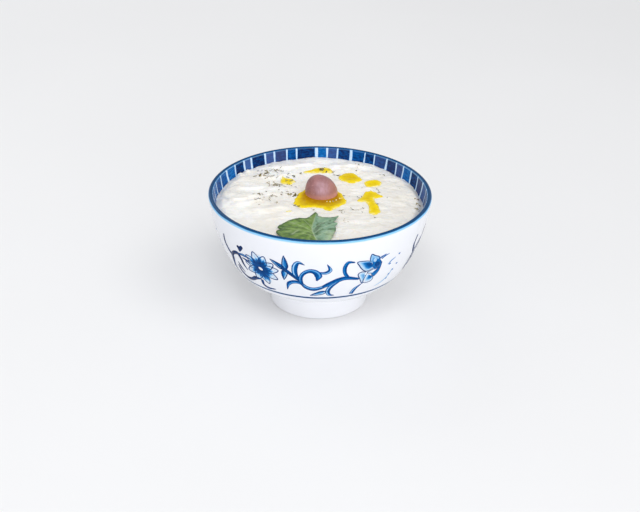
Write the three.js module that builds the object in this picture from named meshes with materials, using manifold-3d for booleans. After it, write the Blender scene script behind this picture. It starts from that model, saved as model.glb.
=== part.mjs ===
// Tzatziki dip in a blue-and-white porcelain bowl, garnished with a Kalamata olive and a parsley leaf.
// Millimetres, +Z up. The origin is the centre of the foot ring, on the surface that the bowl stands on.
// +Y points to the back of the serving and -Y to the front, where the leaf lies against the bowl's wall.
import * as THREE from "three";
import { mergeVertices } from "three/addons/utils/BufferGeometryUtils.js";
import Module from "manifold-3d";

// ---------- Driving dimensions ----------
const SIDES = 64; // facets round the bowl and the dip
const GAP = 0.3; // clearance between pieces that touch

const BOWL_HEIGHT = 62.4;
const RIM_RADIUS = 57.5;
const LIP_THICKNESS = 2.6;
const FOOT_RADIUS = 26.1; // outside, where it stands
const FOOT_TOP_RADIUS = 26.6; // outside, where it meets the body
const FOOT_HEIGHT = 15.2;
const FOOT_WALL = 3.4;
const FOOT_EDGE = 0.7; // rounding of the foot's standing edges
const RECESS_DEPTH = 10.6; // hollow under the base, inside the foot ring
const RECESS_BEVEL = 2.5; // sloping corner of that hollow
const FLOOR_HEIGHT = 18.4; // height of the bowl's floor, inside

// Both walls follow r = (1 - (1 - s)^rise)^(1 / flare), with s from 0 at the bottom to 1 at the rim.
const OUTER_CURVE = { rise: 1.27, flare: 2.87 };
const INNER_CURVE = { rise: 1.27, flare: 4.8 };

const DIP_LEVEL = 56.4; // mean height of the dip's surface
const SHOULDER_WIDTH = 4.5; // the surface rounds off this far from the wall
const SHOULDER_DROP = 1.8;

// Ridges that the spoon left in the dip: arcs of a circle round (x, y), between two directions in radians.
// A ridge is height high, its inner flank is inner wide and its outer flank outer wide.
const RIDGES = [
  { x: -38, y: 20, radius: 19, from: 3.5, to: 5.3, height: 1.3, inner: 7, outer: 2.2 },
  { x: -38, y: 20, radius: 27.5, from: 4.1, to: 5.4, height: 1.1, inner: 4.2, outer: 1.9 },
  { x: -38, y: 20, radius: 34.5, from: 4.5, to: 5.6, height: 1.0, inner: 4.5, outer: 2.2 },
  { x: -30, y: 14, radius: 14, from: 0.9, to: 3.2, height: 1.1, inner: 6, outer: 2.6 },
  { x: 4, y: 4, radius: 38, from: 0.9, to: 2.2, height: 0.7, inner: 3.8, outer: 2.6 },
  { x: 12, y: 2, radius: 31, from: 0.2, to: 1.1, height: 0.5, inner: 4.0, outer: 3.0 },
  { x: 12, y: -4, radius: 29, from: 4.9, to: 6.1, height: 0.6, inner: 4.4, outer: 2.8 },
];
const RIDGE_FADE = 0.5; // radians over which a ridge dies out at each end
// Shallow hollow round the olive, where oil collects.
const HOLLOW = { x: 1.5, y: 1, radius: 15, depth: 0.9 };

const OLIVE_RADIUS = 8.4;
const OLIVE_LENGTH = 19.6;
const OLIVE_TAPER = 0.11; // how much slimmer the upper end is
const OLIVE_CENTRE = [0.3, 8.8, 57];
const OLIVE_LEAN = 0.43; // radians from upright
const OLIVE_LEAN_TOWARDS = 3.45; // radians from +X, seen from above

const LEAF_BASE = [-1.4, -46]; // where the stalk meets the blade
const LEAF_THICKNESS = 0.5;
const LEAF_CLEARANCE = 0.55; // between the dip and the leaf
const LEAF_RISE = 0.7; // how far the halves lift beside the midrib
const LEAF_MIDRIB = 1.6; // direction of the midrib from the base, in radians
const LEAF_SPOKES = 62;
const LEAF_SHARES = [0.1, 0.4, 0.7, 1]; // points along each spoke
// Corners of the blade's edge, anticlockwise from the stalk: right side, tip, broad left side.
const LEAF_OUTLINE = [
  [-0.2, -48.6], [3.4, -47.8], [5.6, -45], [6.6, -40.4], [7.8, -36.4], [8, -33.8], [7.6, -31.4], [8.8, -28.8],
  [6.7, -27.2], [7.7, -24.8], [9.4, -20.8], [6.8, -22], [4.8, -22.3], [2.9, -21.8], [1, -21.2], [-0.7, -19.8],
  [-1.1, -17], [-2.4, -16], [-4.5, -20.2], [-6.3, -23.4], [-9.4, -23.7], [-11.9, -24.7], [-15.4, -27],
  [-18.1, -30.1], [-20.7, -34.2], [-18.9, -36], [-21.1, -38.6], [-20.3, -41.4], [-18, -44.6], [-14, -47.4],
  [-9, -48.8], [-3.4, -49],
];

// ---------- Profiles and helpers ----------
function smoothstep(low, high, value) {
  const t = Math.min(1, Math.max(0, (value - low) / (high - low)));
  return t * t * (3 - 2 * t);
}

const WALL_TOP = BOWL_HEIGHT - LIP_THICKNESS / 2; // where the rounded lip begins

// Radius of a wall at a height, rising from one radius at the bottom to another where the lip begins.
function wallRadius(curve, bottom, fromRadius, toRadius, z) {
  const s = Math.min(1, Math.max(0, (z - bottom) / (WALL_TOP - bottom)));
  return fromRadius + (toRadius - fromRadius) * (1 - (1 - s) ** curve.rise) ** (1 / curve.flare);
}

function outerRadius(z) {
  return wallRadius(OUTER_CURVE, FOOT_HEIGHT, FOOT_TOP_RADIUS, RIM_RADIUS, z);
}

function innerRadius(z) {
  return wallRadius(INNER_CURVE, FLOOR_HEIGHT, 0, RIM_RADIUS - LIP_THICKNESS, z);
}

// Heights from low to high, crowded towards low, where the walls curve most.
function crowdedHeights(low, high, steps, power) {
  return Array.from({ length: steps + 1 }, (_, i) => low + (high - low) * (i / steps) ** power);
}

function arcPoints(cx, cz, radius, from, to, steps) {
  return Array.from({ length: steps + 1 }, (_, i) => {
    const a = from + ((to - from) * i) / steps;
    return new THREE.Vector2(cx + radius * Math.cos(a), cz + radius * Math.sin(a));
  });
}

function indexedGeometry(positions, index) {
  const geometry = new THREE.BufferGeometry();
  geometry.setAttribute("position", new THREE.Float32BufferAttribute(positions, 3));
  geometry.setIndex(index);
  return geometry;
}

// ---------- Bowl ----------
function bowlGeometry() {
  const footInner = FOOT_RADIUS - FOOT_WALL;
  const lip = LIP_THICKNESS / 2;
  const outside = crowdedHeights(FOOT_HEIGHT, WALL_TOP, 13, 1.8);
  const inside = crowdedHeights(FLOOR_HEIGHT, WALL_TOP, 11, 2.4).reverse();
  const profile = [
    new THREE.Vector2(0, RECESS_DEPTH),
    new THREE.Vector2(footInner - RECESS_BEVEL, RECESS_DEPTH),
    new THREE.Vector2(footInner, RECESS_DEPTH - RECESS_BEVEL),
    ...arcPoints(footInner + FOOT_EDGE, FOOT_EDGE, FOOT_EDGE, Math.PI, 1.5 * Math.PI, 2),
    ...arcPoints(FOOT_RADIUS - FOOT_EDGE, FOOT_EDGE, FOOT_EDGE, 1.5 * Math.PI, 2 * Math.PI, 2),
    ...outside.map((z) => new THREE.Vector2(outerRadius(z), z)),
    ...arcPoints(RIM_RADIUS - lip, WALL_TOP, lip, 0, Math.PI, 6).slice(1, -1),
    ...inside.map((z) => new THREE.Vector2(innerRadius(z), z)),
  ];
  return new THREE.LatheGeometry(profile, SIDES).rotateX(Math.PI / 2);
}

// ---------- Dip ----------
// Height that one ridge adds at a point of the surface.
function ridgeHeight(ridge, x, y) {
  const dx = x - ridge.x;
  const dy = y - ridge.y;
  const angle = (Math.atan2(dy, dx) + 2 * Math.PI) % (2 * Math.PI);
  const across = Math.hypot(dx, dy) - ridge.radius;
  const width = across < 0 ? ridge.inner : ridge.outer;
  const starts = smoothstep(ridge.from, ridge.from + RIDGE_FADE, angle);
  const ends = smoothstep(ridge.to - RIDGE_FADE, ridge.to, angle);
  return ridge.height * starts * (1 - ends) * Math.exp(-((across / width) ** 2));
}

function dipHeight(x, y) {
  const wall = innerRadius(DIP_LEVEL) - GAP;
  const shoulder = smoothstep(wall - SHOULDER_WIDTH, wall, Math.hypot(x, y));
  const ridges = RIDGES.reduce((sum, ridge) => sum + ridgeHeight(ridge, x, y), 0);
  const hollow = HOLLOW.depth * Math.exp(-((Math.hypot(x - HOLLOW.x, y - HOLLOW.y) / HOLLOW.radius) ** 4));
  return DIP_LEVEL + (1 - shoulder) * ridges - hollow - SHOULDER_DROP * shoulder;
}

function ringOf(radius, heightAt) {
  return Array.from({ length: SIDES }, (_, side) => {
    const a = (2 * Math.PI * side) / SIDES;
    const x = radius * Math.cos(a);
    const y = radius * Math.sin(a);
    return [x, y, heightAt(x, y)];
  });
}

// A closed surface from a point at the bottom, through rings of SIDES points, to a point at the top.
function ringedGeometry(bottom, rings, top) {
  const index = [];
  const at = (ring, side) => 1 + ring * SIDES + (side % SIDES);
  const lastRing = rings.length - 1;
  const topPoint = 1 + rings.length * SIDES;
  for (let side = 0; side < SIDES; side++) {
    index.push(0, at(0, side + 1), at(0, side));
    for (let ring = 0; ring < lastRing; ring++) {
      index.push(at(ring, side), at(ring, side + 1), at(ring + 1, side));
      index.push(at(ring, side + 1), at(ring + 1, side + 1), at(ring + 1, side));
    }
    index.push(topPoint, at(lastRing, side), at(lastRing, side + 1));
  }
  return indexedGeometry([bottom, ...rings.flat(), top].flat(), index);
}

function dipGeometry() {
  const floor = FLOOR_HEIGHT + GAP;
  const edge = DIP_LEVEL - SHOULDER_DROP;
  const below = crowdedHeights(floor, edge, 9, 2.4)
    .slice(1)
    .map((z) => ringOf(innerRadius(z - GAP) - GAP, () => z));
  const wall = innerRadius(edge - GAP) - GAP;
  const surfaceRings = 14;
  const above = Array.from({ length: surfaceRings }, (_, i) =>
    ringOf((wall * (surfaceRings - i - 0.5)) / surfaceRings, dipHeight),
  );
  return ringedGeometry([0, 0, floor], [...below, ...above], [0, 0, dipHeight(0, 0)]);
}

// ---------- Olive ----------
// Egg-shaped, leaning, with every side moved out by growth.
function oliveGeometry(growth) {
  const steps = 14;
  const profile = Array.from({ length: steps + 1 }, (_, i) => {
    const a = (Math.PI * i) / steps - Math.PI / 2;
    const onAxis = i === 0 || i === steps;
    const radius = (OLIVE_RADIUS + growth) * Math.cos(a) * (1 - OLIVE_TAPER * Math.sin(a));
    return new THREE.Vector2(onAxis ? 0 : radius, (OLIVE_LENGTH / 2 + growth) * Math.sin(a));
  });
  return new THREE.LatheGeometry(profile, 24)
    .rotateX(Math.PI / 2)
    .rotateY(OLIVE_LEAN)
    .rotateZ(OLIVE_LEAN_TOWARDS)
    .translate(...OLIVE_CENTRE);
}

// ---------- Parsley leaf ----------
// The blade follows the dip below it, its halves lifting a little on both sides of the midrib.
function leafHeight(x, y) {
  const across = (x - LEAF_BASE[0]) * Math.sin(LEAF_MIDRIB) - (y - LEAF_BASE[1]) * Math.cos(LEAF_MIDRIB);
  const rise = LEAF_RISE * (1 - Math.exp(-((across / 4) ** 2)));
  return dipHeight(x, y) + LEAF_CLEARANCE + rise;
}

// Two layers of points, each a fan of spokes from the base, joined all the way round their edge.
function leafGeometry() {
  const corners = LEAF_OUTLINE.map(([x, y]) => new THREE.Vector2(x, y));
  const edge = new THREE.SplineCurve(corners).getPoints(LEAF_SPOKES);
  const positions = [];
  for (const lift of [0, LEAF_THICKNESS]) {
    for (const end of edge) {
      for (const share of LEAF_SHARES) {
        const x = LEAF_BASE[0] + share * (end.x - LEAF_BASE[0]);
        const y = LEAF_BASE[1] + share * (end.y - LEAF_BASE[1]);
        positions.push(x, y, leafHeight(x, y) + lift);
      }
    }
  }
  const index = [];
  const quad = (a, b, c, d) => index.push(a, b, c, a, c, d);
  const columns = LEAF_SHARES.length;
  const layer = (LEAF_SPOKES + 1) * columns;
  for (let i = 0; i < LEAF_SPOKES; i++) {
    const inner = i * columns;
    const outer = inner + columns - 1;
    for (let a = inner; a < outer; a++) {
      quad(a, a + columns, a + columns + 1, a + 1);
      quad(layer + a, layer + a + 1, layer + a + columns + 1, layer + a + columns);
    }
    quad(inner, layer + inner, layer + inner + columns, inner + columns);
    quad(outer, outer + columns, layer + outer + columns, layer + outer);
  }
  for (let j = 0; j < columns - 1; j++) {
    const end = LEAF_SPOKES * columns + j;
    quad(j, j + 1, layer + j + 1, layer + j);
    quad(end, layer + end, layer + end + 1, end + 1);
  }
  return indexedGeometry(positions, index);
}

// ---------- Cutting ----------
const wasm = await Module();
wasm.setup();

function solidOf(geometry) {
  const bare = geometry.clone().deleteAttribute("normal").deleteAttribute("uv");
  const merged = mergeVertices(bare, 1e-3);
  const mesh = new wasm.Mesh({
    numProp: 3,
    vertProperties: merged.getAttribute("position").array,
    triVerts: new Uint32Array(merged.getIndex().array),
  });
  return new wasm.Manifold(mesh);
}

function geometryOf(solid) {
  const mesh = solid.getMesh();
  return indexedGeometry(Array.from(mesh.vertProperties), Array.from(mesh.triVerts));
}

// The olive is pushed into the dip, so the dip is cut round it.
function dipRoundOlive() {
  return geometryOf(solidOf(dipGeometry()).subtract(solidOf(oliveGeometry(GAP))));
}

// ---------- The serving ----------
function piece(name, geometry, colour, roughness) {
  geometry.computeVertexNormals();
  const material = new THREE.MeshStandardMaterial({ color: colour, roughness, metalness: 0 });
  const mesh = new THREE.Mesh(geometry, material);
  mesh.name = name;
  return mesh;
}

const serving = new THREE.Group();
serving.add(
  piece("bowl", bowlGeometry(), 0xf4f6fb, 0.12),
  piece("tzatziki", dipRoundOlive(), 0xf3f1e8, 0.35),
  piece("olive", oliveGeometry(0), 0x6d4550, 0.3),
  piece("parsley_leaf", leafGeometry(), 0x55803f, 0.5),
);

export default serving;
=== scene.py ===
"""Looks of one serving of tzatziki: painted porcelain bowl, dip, olive, parsley leaf, olive oil and herbs.

Lengths in this script are millimetres, and meshes are scaled to metres as they are made.
The row frame has its origin under the middle of the foot ring, +Z up, -Y towards the camera.
"""

import math

import bpy
import numpy as np
from mathutils import Matrix, Vector
from mathutils.geometry import delaunay_2d_cdt


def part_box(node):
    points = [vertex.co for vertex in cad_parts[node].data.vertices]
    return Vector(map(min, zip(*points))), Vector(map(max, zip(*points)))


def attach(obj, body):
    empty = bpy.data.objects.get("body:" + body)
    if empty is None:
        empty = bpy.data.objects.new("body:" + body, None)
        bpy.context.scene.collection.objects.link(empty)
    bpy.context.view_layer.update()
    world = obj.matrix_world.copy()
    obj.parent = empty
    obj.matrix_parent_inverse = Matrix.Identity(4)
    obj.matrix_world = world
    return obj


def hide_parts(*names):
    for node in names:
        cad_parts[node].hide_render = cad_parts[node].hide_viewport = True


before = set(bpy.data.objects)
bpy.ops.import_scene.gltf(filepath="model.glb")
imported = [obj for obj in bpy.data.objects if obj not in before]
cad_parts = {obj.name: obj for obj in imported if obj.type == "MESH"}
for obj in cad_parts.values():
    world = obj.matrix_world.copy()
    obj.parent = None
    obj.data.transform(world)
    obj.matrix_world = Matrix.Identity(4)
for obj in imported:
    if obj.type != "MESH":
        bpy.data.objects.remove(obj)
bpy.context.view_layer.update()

MM = 0.001
TAU = 2 * math.pi

# ---------- Sizes, in millimetres ----------
RIM_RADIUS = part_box("bowl")[1].x / MM
BOWL_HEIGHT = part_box("bowl")[1].z / MM
LIP = 2.6
FOOT_RADIUS = 26.1
FOOT_TOP_RADIUS = 26.6
FOOT_HEIGHT = 15.2
FOOT_WALL = 3.4
FOOT_EDGE = 0.7
RECESS_DEPTH = 10.6
RECESS_BEVEL = 2.5
FLOOR_HEIGHT = 18.4
WALL_TOP = BOWL_HEIGHT - LIP / 2

DIP_LEVEL = 56.4
SHOULDER_WIDTH = 4.5
SHOULDER_DROP = 1.8

RING_LINE_HEIGHT = 24.5
RIM_PANELS = 47


# ---------- Meshes ----------
def new_object(name, points, faces, materials=(), smooth=True):
    """A mesh object from points in millimetres."""
    mesh = bpy.data.meshes.new(name)
    mesh.from_pydata((np.asarray(points, float) * MM).tolist(), [], faces)
    mesh.validate()
    for material in materials:
        mesh.materials.append(material)
    if smooth:
        mesh.shade_smooth()
    mesh.update()
    obj = bpy.data.objects.new(name, mesh)
    bpy.context.scene.collection.objects.link(obj)
    return obj


def set_attribute(obj, name, values):
    attribute = obj.data.attributes.new(name, "FLOAT", "POINT")
    attribute.data.foreach_set("value", np.asarray(values, np.float32))


def smoothstep(low, high, value):
    t = np.clip((value - low) / (high - low), 0, 1)
    return t * t * (3 - 2 * t)


def spline(points, steps, closed=False):
    """A Catmull-Rom curve through the points, with steps pieces between each pair."""
    p = np.asarray(points, float)
    if closed:
        p = np.vstack([p[-1], p, p[0], p[1]])
    else:
        p = np.vstack([2 * p[0] - p[1], p, 2 * p[-1] - p[-2]])
    t = (np.arange(steps) / steps)[:, None]
    parts = []
    for a, b, c, d in zip(p[:-3], p[1:-2], p[2:-1], p[3:]):
        slope = c - a
        bend = 2 * a - 5 * b + 4 * c - d
        twist = 3 * b - a - 3 * c + d
        parts.append(0.5 * (2 * b + slope * t + bend * t**2 + twist * t**3))
    curve = np.vstack(parts)
    return curve if closed else np.vstack([curve, p[-2]])


def bands(at):
    """Faces between rings of point numbers, where each ring is a row."""
    after = np.roll(at, -1, axis=1)
    return np.stack([at[:-1], after[:-1], after[1:], at[1:]], -1).reshape(-1, 4).tolist()


def flipped(quads):
    """The same quads, facing the other way."""
    return [(a, d, c, b) for a, b, c, d in quads]


def capped_rings(rings, sides):
    """Faces over a first point, rings of points and a last point."""
    at = 1 + np.arange(rings * sides).reshape(rings, sides)
    before_first = np.zeros(sides, int)
    after_last = np.full(sides, 1 + rings * sides)
    faces = np.c_[before_first, np.roll(at[0], -1), at[0]].tolist()
    return faces + bands(at) + np.c_[after_last, at[-1], np.roll(at[-1], -1)].tolist()


def grid_cells(at):
    """Faces over a grid of point numbers."""
    return np.stack([at[:-1, :-1], at[:-1, 1:], at[1:, 1:], at[1:, :-1]], -1).reshape(-1, 4).tolist()


def grid_border(at):
    """The point numbers round the edge of a grid."""
    return [*at[0, :-1].tolist(), *at[:-1, -1].tolist(), *at[-1, :0:-1].tolist(), *at[:0:-1, 0].tolist()]


def pairs_round(ring):
    """Each point number of a closed ring with the one after it."""
    return list(zip(ring, ring[1:] + ring[:1]))


def shell_faces(cells, edges, size):
    """Cells, an underside of the same cells size points further on, and a strip between them along edges."""
    under = [tuple(i + size for i in reversed(cell)) for cell in cells]
    return [*cells, *under, *((a, a + size, b + size, b) for a, b in edges)]


# ---------- Noise ----------
def value_noise(x, y, seed):
    """Smooth noise from -1 to 1, with features one unit wide."""
    table = np.random.default_rng(seed).uniform(-1, 1, (256, 256))
    i = np.floor(x).astype(int)
    j = np.floor(y).astype(int)
    u = x - i
    v = y - j
    u = u * u * u * (u * (u * 6 - 15) + 10)
    v = v * v * v * (v * (v * 6 - 15) + 10)
    i0, i1, j0, j1 = i % 256, (i + 1) % 256, j % 256, (j + 1) % 256
    low = table[i0, j0] * (1 - u) + table[i1, j0] * u
    high = table[i0, j1] * (1 - u) + table[i1, j1] * u
    return low * (1 - v) + high * v


def fractal_noise(x, y, seed, octaves=3):
    total = 0
    for octave in range(octaves):
        scale = 2**octave
        shifted = (x * scale + 17.3 * octave, y * scale - 9.1 * octave)
        total = total + value_noise(*shifted, seed + octave) / scale
    return total / 1.6


# ---------- Shader graphs ----------
class Graph:
    """A material's nodes, with a Principled shader at the end."""

    def __init__(self, name):
        self.material = bpy.data.materials.new(name)
        self.material.use_nodes = True
        self.tree = self.material.node_tree
        self.shader = self.tree.nodes["Principled BSDF"]
        # The place on the object, in millimetres.
        inputs = {0: self.node("ShaderNodeTexCoord").outputs["Object"], "Scale": 1 / MM}
        self.place = self.node("ShaderNodeVectorMath", inputs, operation="SCALE").outputs[0]

    def node(self, kind, inputs=None, **settings):
        node = self.tree.nodes.new(kind)
        for key, value in settings.items():
            setattr(node, key, value)
        for key, value in (inputs or {}).items():
            self.plug(node.inputs[key], value)
        return node

    def plug(self, socket, value):
        if isinstance(value, bpy.types.NodeSocket):
            self.tree.links.new(value, socket)
        elif isinstance(value, tuple) and len(value) == 3 and socket.type == "RGBA":
            socket.default_value = (*value, 1)
        else:
            socket.default_value = value

    def set(self, **inputs):
        for key, value in inputs.items():
            self.plug(self.shader.inputs[key.replace("_", " ")], value)

    def math(self, operation, a, b=0.0, c=0.0, clamp=False):
        node = self.node("ShaderNodeMath", {0: a, 1: b, 2: c}, operation=operation, use_clamp=clamp)
        return node.outputs[0]

    def times(self, a, b, clamp=False):
        return self.math("MULTIPLY", a, b, clamp=clamp)

    def plus(self, a, b, clamp=False):
        return self.math("ADD", a, b, clamp=clamp)

    def minus(self, a, b):
        return self.math("SUBTRACT", a, b)

    def separate(self):
        """The x, y and z of the place."""
        return self.node("ShaderNodeSeparateXYZ", {0: self.place}).outputs

    def random(self, value):
        """A random number from 0 to 1 for each value."""
        return self.node("ShaderNodeTexWhiteNoise", {"W": value}, noise_dimensions="1D").outputs["Value"]

    def noise(self, size, detail=3.0, roughness=0.5, distortion=0.0, stretch=None):
        """Noise from 0 to 1 whose features are size millimetres wide, or wider where stretch is below 1."""
        vector = self.place
        if stretch:
            vector = self.node("ShaderNodeMapping", {"Vector": vector, "Scale": stretch}).outputs[0]
        inputs = {"Vector": vector, "Scale": 1 / size, "Detail": detail, "Roughness": roughness}
        inputs["Distortion"] = distortion
        return self.node("ShaderNodeTexNoise", inputs).outputs["Fac"]

    def ramp(self, value, low, high, to_low=0.0, to_high=1.0):
        inputs = {"Value": value, "From Min": low, "From Max": high, "To Min": to_low, "To Max": to_high}
        return self.node("ShaderNodeMapRange", inputs, interpolation_type="SMOOTHSTEP").outputs["Result"]

    def mix(self, factor, a, b):
        node = self.node("ShaderNodeMix", data_type="RGBA")
        for socket, value in ((node.inputs[0], factor), (node.inputs[6], a), (node.inputs[7], b)):
            self.plug(socket, value)
        return node.outputs[2]

    def colours(self, value, *stops):
        """A colour ramp: each stop is a place from 0 to 1 and a linear colour."""
        node = self.node("ShaderNodeValToRGB", {0: value})
        elements = node.color_ramp.elements
        while len(elements) < len(stops):
            elements.new(1)
        for element, (place, colour) in zip(elements, stops):
            element.position = place
            element.color = (*colour, 1)
        return node.outputs[0]

    def attribute(self, name):
        return self.node("ShaderNodeAttribute", attribute_name=name).outputs["Fac"]

    def bump(self, height, distance, strength=1.0):
        """Bump from a height of 0 to 1 that stands for distance millimetres."""
        inputs = {"Height": height, "Distance": distance * MM, "Strength": strength}
        return self.node("ShaderNodeBump", inputs).outputs[0]


GLAZE_WHITE = (0.86, 0.875, 0.92)
# Whiter than the glaze: painted light that lifts the shade on the foot and the lowest part of the body.
FOOT_PAINTED_LIGHT = (0.94, 0.95, 0.99)
LIP_BLUE = (0.004, 0.09, 0.26)
LIP_DARK = (0.002, 0.05, 0.145)
LIP_FRINGE = (0.27, 0.6, 0.9)
PANEL_MAUVE = (0.075, 0.1, 0.25)
# Pale blue of the painted highlight just under the inner edge of the lip.
PAINTED_HIGHLIGHT_BLUE = (0.3, 0.56, 0.82)


def glaze_finish(graph, index):
    """The clear gloss over the whole bowl, slightly uneven as fired glaze is."""
    ripple = graph.noise(9, detail=2)
    graph.set(Roughness=graph.ramp(graph.noise(4), 0.3, 0.7, 0.06, 0.12))
    graph.set(IOR=index, Normal=graph.bump(ripple, 0.12))
    graph.set(Specular_IOR_Level=0.25)


def cobalt(graph, tone):
    """Cobalt painted under glaze, from bare white at tone 0 to nearly black-blue at tone 1."""
    wash = graph.noise(1.6, detail=4)
    uneven = graph.math("MULTIPLY_ADD", graph.minus(wash, 0.5), 0.35, 1.0)
    tone = graph.times(tone, uneven, clamp=True)
    return graph.colours(
        tone,
        (0.0, GLAZE_WHITE),
        (0.3, (0.33, 0.6, 0.86)),
        (0.55, (0.016, 0.225, 0.6)),
        (0.8, (0.001, 0.083, 0.32)),
        (0.92, (0.001, 0.046, 0.19)),
        (1.0, (0.003, 0.018, 0.09)),
    )


def glaze_outside_material():
    """White outside wall with a dark ring line near the foot and a blue edge at the lip; the foot and the
    wall just above it are painted whiter than the glaze, as painted light against their shade.
    """
    graph = Graph("glaze_outside")
    _, _, z = graph.separate()
    wobble = graph.times(graph.minus(graph.noise(12), 0.5), 0.5)
    height = graph.plus(z, wobble)
    off_line = graph.math("ABSOLUTE", graph.minus(height, RING_LINE_HEIGHT))
    line = graph.ramp(off_line, 0.42, 0.92, 1.0, 0.0)
    worn = graph.ramp(graph.noise(5), 0.2, 0.5, 0.85, 1.0)
    line = graph.times(line, worn)
    fringe = graph.ramp(height, BOWL_HEIGHT - 2.0, BOWL_HEIGHT - 1.1)
    lip = graph.ramp(height, BOWL_HEIGHT - 0.85, BOWL_HEIGHT - 0.4)
    dark = graph.ramp(height, BOWL_HEIGHT - 0.45, BOWL_HEIGHT - 0.15)
    # Painted light: below the ring line the glaze colour turns to a whiter white, lifting the shade on the
    # foot.
    colour = graph.mix(graph.ramp(z, 13, 23, 0.9, 0.0), cobalt(graph, line), FOOT_PAINTED_LIGHT)
    colour = graph.mix(fringe, colour, LIP_FRINGE)
    graph.set(Base_Color=graph.mix(dark, graph.mix(lip, colour, LIP_BLUE), LIP_DARK))
    glaze_finish(graph, 1.35)
    return graph.material


def glaze_inside_material():
    """Blue panels between pale stripes, below a solid blue lip, with a painted highlight: a pale line just
    under the lip's inner edge, stronger at the sides.
    """
    graph = Graph("glaze_inside")
    x, y, z = graph.separate()
    turn = graph.math("DIVIDE", graph.math("ARCTAN2", y, x), TAU)
    uneven = graph.noise(11, stretch=(1, 1, 0.05), detail=1)
    panel = graph.math("MULTIPLY_ADD", turn, RIM_PANELS, graph.times(uneven, 1.3))
    across = graph.math("ABSOLUTE", graph.minus(graph.math("FRACT", panel), 0.5))
    half_stripe = graph.ramp(graph.noise(7, stretch=(1, 1, 0.4)), 0.3, 0.7, 0.385, 0.44)
    stripe = graph.ramp(graph.minus(across, half_stripe), -0.03, 0.035)
    panel_number = graph.math("FLOOR", panel)
    tone = graph.ramp(graph.random(panel_number), 0, 1, 0.72, 1.0)
    streaks = graph.noise(2.5, stretch=(1, 1, 4))
    tone = graph.plus(tone, graph.ramp(streaks, 0.2, 0.8, -0.12, 0.12))
    tone = graph.times(tone, graph.minus(1.0, graph.times(stripe, 0.82)))
    # Painted highlight: a pale line just under the lip's inner edge, stronger towards the left and right
    # sides than at the back and front.
    painted_highlight_line = graph.ramp(z, BOWL_HEIGHT - 1.0, BOWL_HEIGHT - 0.75)
    painted_highlight_line = graph.times(painted_highlight_line, graph.ramp(graph.math("ABSOLUTE", x), 20, 50, 0.12, 0.5))
    lip = graph.ramp(z, BOWL_HEIGHT - 0.55, BOWL_HEIGHT - 0.3)
    lip_colour = graph.mix(graph.ramp(z, BOWL_HEIGHT - 0.3, BOWL_HEIGHT - 0.1), LIP_BLUE, LIP_DARK)
    greyed = graph.ramp(graph.random(graph.plus(panel_number, 0.5)), 0.55, 1.0, 0.0, 0.6)
    mauve = graph.times(greyed, graph.ramp(tone, 0.2, 0.5))
    colour = graph.mix(mauve, cobalt(graph, tone), PANEL_MAUVE)
    colour = graph.mix(painted_highlight_line, colour, PAINTED_HIGHLIGHT_BLUE)
    graph.set(Base_Color=graph.mix(lip, colour, lip_colour))
    glaze_finish(graph, 1.24)
    return graph.material


def painting_material():
    """Brush strokes of the scroll: the tone attribute says how much cobalt lies there."""
    graph = Graph("cobalt_painting")
    graph.set(Base_Color=cobalt(graph, graph.attribute("tone")))
    glaze_finish(graph, 1.15)
    return graph.material


def dip_material():
    """Thick strained yogurt with faint streaks of grated cucumber and its juice; lighter towards the back,
    which is painted light.
    """
    graph = Graph("yogurt_dip")
    streaks = graph.noise(2.0, stretch=(0.42, 1, 1), detail=4, roughness=0.6, distortion=0.8)
    patches = graph.noise(16, detail=2)
    x, y, _ = graph.separate()
    to_right = graph.ramp(x, -20, 35)
    amount = graph.times(graph.ramp(streaks, 0.48, 0.75), graph.ramp(to_right, 0, 1, 0.4, 0.75))
    white = graph.mix(graph.ramp(patches, 0.35, 0.65), (0.92, 0.905, 0.865), (0.84, 0.805, 0.735))
    white = graph.mix(graph.times(to_right, 0.6), white, (0.82, 0.785, 0.715))
    # Painted light: the dip's colour grows lighter towards the back of the bowl.
    white = graph.mix(graph.ramp(y, 18, 45, 0.0, 0.8), white, (0.945, 0.92, 0.885))
    graph.set(Base_Color=graph.mix(amount, white, (0.7, 0.645, 0.54)))
    graph.set(Roughness=graph.ramp(graph.noise(3), 0.35, 0.65, 0.3, 0.5), IOR=1.38)
    fine = graph.noise(1.1, stretch=(0.6, 1, 1), detail=5, roughness=0.6)
    graph.set(Normal=graph.bump(fine, 0.4))
    graph.set(Subsurface_Weight=0.35, Subsurface_Radius=(1.0, 0.85, 0.65), Subsurface_Scale=2 * MM)
    return graph.material


def oil_material():
    """Golden olive oil: pale and thin at the edges, amber where it is deep; round the olive the depth
    attribute is raised, partly as painted shade of the olive.
    """
    graph = Graph("olive_oil")
    cloud = graph.times(graph.minus(graph.noise(2.2), 0.5), 0.5)
    depth = graph.plus(graph.attribute("depth"), cloud, clamp=True)
    colour = graph.colours(
        depth,
        (0.0, (0.9, 0.86, 0.66)),
        (0.1, (0.87, 0.75, 0.25)),
        (0.22, (0.84, 0.64, 0.015)),
        (0.42, (0.78, 0.56, 0.002)),
        (1.0, (0.42, 0.2, 0.001)),
    )
    graph.set(Base_Color=colour, Roughness=0.06, IOR=1.12)
    return graph.material


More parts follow.
